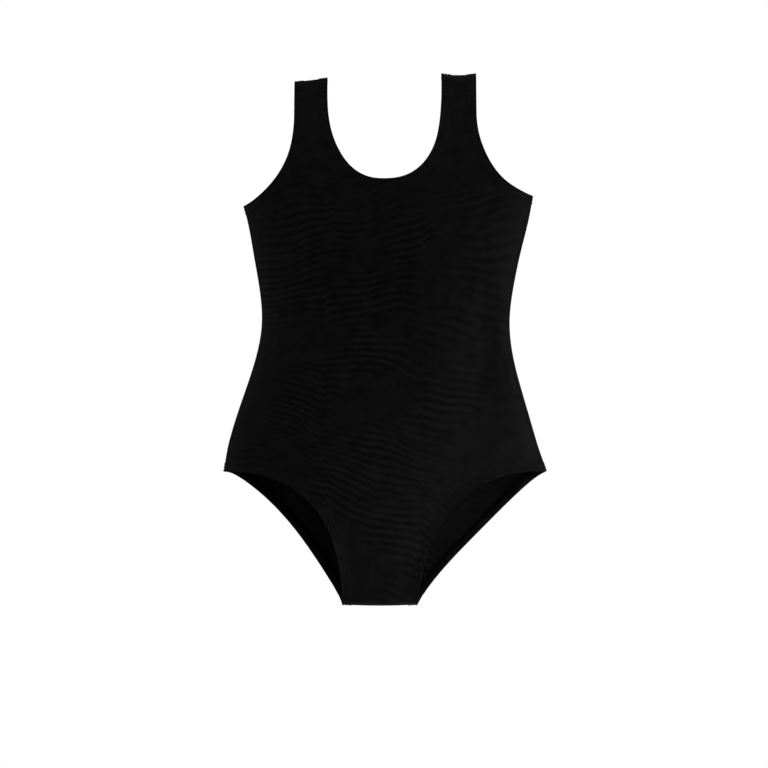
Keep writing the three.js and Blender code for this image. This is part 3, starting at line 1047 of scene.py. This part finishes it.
def instanced(name, points, along, out, shape, uneven=0.06):
    base = meshObject(name, points, [])
    for key, values in (("along", along), ("out", out)):
        layer = base.data.attributes.new(key, "FLOAT_VECTOR", "POINT")
        layer.data.foreach_set("vector", np.asarray(values, float).ravel())
    scene.collection.children.link(stitchShapes)
    modifier = base.modifiers.new("Stitches", "NODES")
    modifier.node_group = stitches
    values = {"Stitch": shape, "Scale": 1.0, "Unevenness": uneven, "Thread": thread}
    for item in stitches.interface.items_tree:
        if item.item_type == "SOCKET" and item.in_out == "INPUT" and item.name in values:
            modifier[item.identifier] = values[item.name]
    graph = bpy.context.evaluated_depsgraph_get()
    graph.update()
    made = bpy.data.meshes.new_from_object(base.evaluated_get(graph))
    scene.collection.children.unlink(stitchShapes)
    base.modifiers.clear()
    made.name = name
    old = base.data
    base.data = made
    bpy.data.meshes.remove(old)
    if not made.materials:
        made.materials.append(thread)
    return base


def alongLoop(points, values, pitch, closed=True):
    # even steps along a line, with the direction along it and the other values carried over
    if closed:
        points, values = np.vstack([points, points[:1]]), np.vstack([values, values[:1]])
    run = runAlong(points)
    count = int(round(run[-1] / pitch))
    at = (np.arange(count) + 0.5) * run[-1] / count
    ahead = valuesAt(np.minimum(at + pitch / 3, run[-1]), run, points)
    behind = valuesAt(np.maximum(at - pitch / 3, 0), run, points)
    return valuesAt(at, run, points), unit(ahead - behind), unit(valuesAt(at, run, values))


coverStitch = {
    "pitch": 2.7 * mm,
    "needle": 0.15,  # radius in mm
    "looper": 0.13,
    "past": 0.3 * mm,  # how far the looper reaches past the needle rows
    "under": 3.22 * mm,  # depth of the looper
}
dash = stitchShape(
    "NeedleStitch",
    [
        (-1.05, 0, -0.4), (-0.95, 0, -0.16), (-0.6, 0, -0.06), (0, 0, -0.03),
        (0.6, 0, -0.06), (0.95, 0, -0.16), (1.05, 0, -0.4),
    ],
    coverStitch["needle"],
)


def coverRows(name):
    parts = []
    for row in relief["rows"]:
        where, along, out = alongLoop(*ring(name, row, 0), coverStitch["pitch"])
        parts.append(instanced(f"{name}_needle_{row:.4f}", where, along, out, dash))
    # the looper thread crosses between the rows on the inside
    first, last = relief["rows"]
    past, under = coverStitch["past"], coverStitch["under"]
    low, high = (ring(name, row, under) for row in (first - past, last + past))
    path, _, up = alongLoop(*low, coverStitch["pitch"])
    far = alongLoop(*high, coverStitch["pitch"])[0]
    count = min(len(path), len(far))
    far = far[(np.arange(count) * (len(far) - 1) / (count - 1)).round().astype(int)]
    corners = np.empty((2 * count, 3))
    corners[0::2], corners[1::2] = path[:count], far
    fine = []
    for start, end in zip(corners, np.roll(corners, -1, axis=0)):
        fine += [start, start * 0.7 + end * 0.3, start * 0.3 + end * 0.7]
    out = np.repeat(up[:count], 6, axis=0)
    verts, faces = tube(fine, out, coverStitch["looper"] * mm, 5, closed=True)
    parts.append(meshObject(name + "_looper", verts, faces, thread))
    fixNormals(parts[-1])
    return joinPieces(name + "_cover_thread", *parts)


for name in openings:
    pieces[name + "_cover_stitch"] = coverRows(name)
print("cover stitches ready")


# ---- Overlocked seams: two raw edges with thread wrapped over them, lying inside the back or the front ----
overlock = {
    "width": 6 * mm,
    "cover": 0.8 * mm,  # how far it reaches past the seam
    "pitch": 2.3 * mm,
    "under": 3.02 * mm,  # depth of the thread
    # section of the allowances, as shares of the width and depths in mm
    "section": (
        (0.02, 1.3), (0.04, 1.2), (0.5, 1.2), (0.95, 1.2), (1.0, 1.45), (1.0, 1.95), (0.97, 2.1), (1.0, 2.25),
        (1.0, 2.75), (0.95, 3.0), (0.5, 3.0), (0.04, 3.0), (0.02, 2.9),
    ),
}
wrap = stitchShape(
    "OverlockLoop",
    [
        (0.5, 3.1, -0.3), (0.45, 2.6, 0.12), (0.2, 0.4, 0.16), (-0.2, -2.6, 0.14),
        (-0.3, -3.15, -0.1), (-0.2, -3.3, -0.8), (0, -3.2, -1.6),
    ],
    0.13,
)


def seamPiece(name, side, line, way):
    # line is the seam in cloth coordinates, way the direction of the allowance across the cloth
    width, pitch, count = overlock["width"], overlock["pitch"], len(line)
    flats = [line + way * (width * share) for share, _ in overlock["section"]]
    verts = [onCloth(side, flat, depth * mm)[0] for flat, (_, depth) in zip(flats, overlock["section"])]
    faces = sweepFaces(len(flats), count, closedCorners=False)
    for end in (0, count - 1):
        faces.append(tuple(k * count + end for k in range(len(flats))))
    strip = meshObject(name + "_allowance", np.vstack(verts), faces, jersey, uv=np.vstack(flats))
    fixNormals(strip)
    at, up = onCloth(side, line + way * (width * 0.5), overlock["under"])
    where, along, out = alongLoop(at, up, pitch, closed=False)
    free = onCloth(side, line + way * width, overlock["under"])[0]
    toEdge = alongLoop(at, free - at, pitch, closed=False)[2]
    inward = -out  # the thread lies on the side that faces the body
    flipped = (np.cross(inward, along) * toEdge).sum(axis=1) > 0
    along = np.where(flipped[:, None], -along, along)
    loops = instanced(name + "_loops", where, along, inward, wrap, 0.05)
    return joinPieces(name + "_seam", strip, loops)


hemClear = cut["hem"] + 0.5 * mm
for flip, name in ((-1, "left"), (1, "right")):
    lowEnd = lines[1]["arm"][-1, 1] + hemClear
    highEnd = lines[1]["leg"][0, 1] - hemClear
    line = seamLine(1, lowEnd, highEnd, -overlock["cover"], 2 * mm) * (flip, 1)
    pieces[name + "_side_overlock"] = seamPiece(name + "_side", 1, line, np.array((-flip, 0)))
    q = cut["shoulderSeam"] - overlock["cover"]
    inner, outer = cut["strapInner"] + hemClear, cut["strapOuter"] - hemClear
    line = np.stack([np.linspace(inner, outer, 12), np.full(12, q)], axis=-1) * (flip, 1)
    pieces[name + "_shoulder_overlock"] = seamPiece(name + "_shoulder", -1, line, np.array((0, 1)))
legEnd = lines[1]["leg"][-1, 0] - hemClear
q = length - cut["crotchSeam"] + overlock["cover"]
line = np.stack([np.linspace(-legEnd, legEnd, 32), np.full(32, q)], axis=-1)
pieces["crotch_overlock"] = seamPiece("crotch", 1, line, np.array((0, -1)))
print("seams ready")


# ---- Crotch lining ----
lining = {
    "rise": 105 * mm,
    "outer": 1.2 * mm,  # depths of its two faces
    "inner": 2.1 * mm,
    "grid": 3.2 * mm,
    "scoop": 5 * mm,
    "stitchIn": 2.5 * mm,
    "under": 2.12 * mm,  # depth of the stitches
    "pitch": 2.4 * mm,
}


def closedSheet(name, side, loop, material):
    points = gridInside(loop, lining["grid"])
    away = distanceTo(points, respace(np.vstack([loop, loop[:1]]), 0.5 * mm))
    flat, faces, first = triangulate(loop, points[away > lining["grid"] * 0.5])
    outer, inner = (onCloth(side, flat, lining[face])[0] for face in ("outer", "inner"))
    count = len(flat)
    allFaces = faces + [tuple(i + count for i in f[::-1]) for f in faces]
    for a, b in zip(first, first[1:] + first[:1]):
        allFaces.append((a, a + count, b + count, b))
    piece = meshObject(name, np.vstack([outer, inner]), allFaces, material, uv=np.vstack([flat, flat]))
    fixNormals(piece)
    return piece


def buildLining():
    # it follows the front's leg hems, with a scooped top, and ends at the crotch seam
    legs = edge(-1, "leg", hemClear)
    topQ = np.interp(span - lining["rise"], dropAlong, arc)
    leg = legs[(legs[:, 1] > topQ) & (legs[:, 1] < length + cut["crotchSeam"] - 0.4 * mm)]
    leg = respace(leg, 2.4 * mm)
    scoop = inBetween(leg[0] * (-1, 1), leg[0], 40)
    scoop[:, 1] += lining["scoop"] * (1 - (scoop[:, 0] / leg[0, 0]) ** 2)
    bottom = inBetween(leg[-1], leg[-1] * (-1, 1), 24)
    loop = np.vstack([scoop, leg, bottom, (leg * (-1, 1))[::-1]])
    sheet = closedSheet("crotch_lining_cloth", -1, loop, liningCloth)
    at, up = onCloth(-1, scoop[2:-2] + (0, lining["stitchIn"]), lining["under"])
    where, along, out = alongLoop(at, up, lining["pitch"], closed=False)
    path = [(-0.6, -1.1, -0.25), (-0.5, -1, 0.1), (0, 0, 0.14), (0.5, 1, 0.1), (0.6, 1.1, -0.25)]
    zig = stitchShape("ZigStitch", path, 0.14)
    return sheet, instanced("crotch_lining_thread", where, along, -out, zig), loop


pieces["crotch_lining"], pieces["crotch_lining_stitch"], liningLoop = buildLining()


# ---- Care label: a blank folded strip caught in the left side seam ----
labelSettings = {"drop": 316 * mm, "width": 30 * mm, "height": 22 * mm, "rows": 16, "columns": 22}


def careLabel():
    rows, columns, width, height = (labelSettings[key] for key in ("rows", "columns", "width", "height"))
    q0 = np.interp(labelSettings["drop"], dropAlong, arc)
    q = q0 + np.linspace(-height / 2, height / 2, rows)
    edgeAt = seamAt(1, np.full(1, q0))[0] - 1.5 * mm
    sections = []
    for u in np.linspace(0, 1, columns):
        lift = 0.9 * mm * u * u + 0.25 * mm * math.sin(5 * u)
        sections.append((u, 3.25 * mm + lift))
    sections += [(u, depth + (0.34 + 0.5 * u * (1 - u)) * mm) for u, depth in reversed(sections)]
    verts = []
    for u, depth in sections:
        flat = np.stack([np.full(rows, -(edgeAt - u * width)), q], axis=-1)
        wobble = 0.12 * mm * np.sin(np.linspace(0, 5, rows) + 4 * u)
        verts.append(onCloth(1, flat, depth)[0] - wobble[:, None] * (0, 1, 0))
    count = len(verts)
    faces = sweepFaces(count, rows, closedCorners=False)
    for end in (0, rows - 1):
        for k in range(columns - 1):
            faces.append(tuple(i * rows + end for i in (k, k + 1, count - 2 - k, count - 1 - k)))
    piece = meshObject("care_label_cloth", np.vstack(verts), faces, label)
    fixNormals(piece)
    return piece


pieces["care_label"] = careLabel()
print("lining and label ready")

# ---- What each piece stands for ----
for node, piece in pieces.items():
    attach(piece, "root")
    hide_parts(node)


# ---- Stage: pale floor, white surroundings, soft lights and the camera ----
stage = {"floorDrop": 0.25, "floorSize": 0.8, "surroundings": 1.0, "roomLight": 0.13}


def buildFloor():
    size, z, count = stage["floorSize"] / 2, cadLow[2] - stage["floorDrop"], 48
    edgePoints = [(size * math.cos(a), size * math.sin(a), z) for a in np.arange(count) * 2 * math.pi / count]
    material, tree, shader = newMaterial("PaleFloor")
    noise = addNode(tree, "ShaderNodeTexNoise", {"Scale": 30}).outputs["Fac"]
    feed(tree, shader, {"Base Color": rampOf(tree, noise, (0.8,) * 3, (0.84,) * 3), "Roughness": 0.9})
    meshObject("floor", edgePoints, [tuple(range(count))], material, smoothShade=False)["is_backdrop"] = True


buildFloor()
world = scene.world or bpy.data.worlds.new("World")
scene.world = world
world.use_nodes = True
background = world.node_tree.nodes["Background"]
# white paper behind, with a dimmer room round it that lights the cloth
seen = addNode(world.node_tree, "ShaderNodeLightPath").outputs["Is Camera Ray"]
extraLight = stage["surroundings"] - stage["roomLight"]
room = mathNode(world.node_tree, "MULTIPLY_ADD", seen, extraLight, stage["roomLight"])
feed(world.node_tree, background, {"Color": (1, 1, 1, 1), "Strength": room})

lights = {  # place and target from the middle of the garment, size, power and spread
    "KeyRight": ((1.55, -0.65, -0.1), (0, 0, 0), 0.4, 19, math.pi),
    "KickRight": ((0.75, -1.25, -0.95), (0.115, 0.01, -0.155), 0.2, 0.1, 0.22),
    "RimLeft": ((-1.6, -0.4, 0.1), (0, 0, 0), 0.5, 11, math.pi),
    "Overhead": ((0.3, -0.75, 1.6), (0, 0, 0), 0.7, 13, math.pi),
    "Rear": ((0.3, 1.5, 0.9), (0, 0, 0), 1.0, 26, math.pi),
}
middle = Vector((0, 0, top - span * 0.58))
for name, (place, target, size, power, spread) in lights.items():
    data = bpy.data.lights.new(name, "AREA")
    data.energy, data.size, data.spread = power, size, spread
    lamp = bpy.data.objects.new(name, data)
    lamp.location = middle + Vector(place)
    lamp.rotation_euler = ((middle + Vector(target)) - lamp.location).to_track_quat("-Z", "Y").to_euler()
    scene.collection.objects.link(lamp)

shot = {"field": 0.81, "lens": 100, "distance": 2.25, "centreDrop": 324.2 * mm}
camera = bpy.data.cameras.new("Camera")
camera.lens = shot["lens"]
camera.sensor_width = shot["lens"] * shot["field"] / shot["distance"]
cameraObject = bpy.data.objects.new("Camera", camera)
cameraObject.location = (0, -shot["distance"], top - shot["centreDrop"])
cameraObject.rotation_euler = (math.pi / 2, 0, 0)
scene.collection.objects.link(cameraObject)
scene.camera = cameraObject
scene.view_settings.view_transform = "Standard"
print("stage ready")
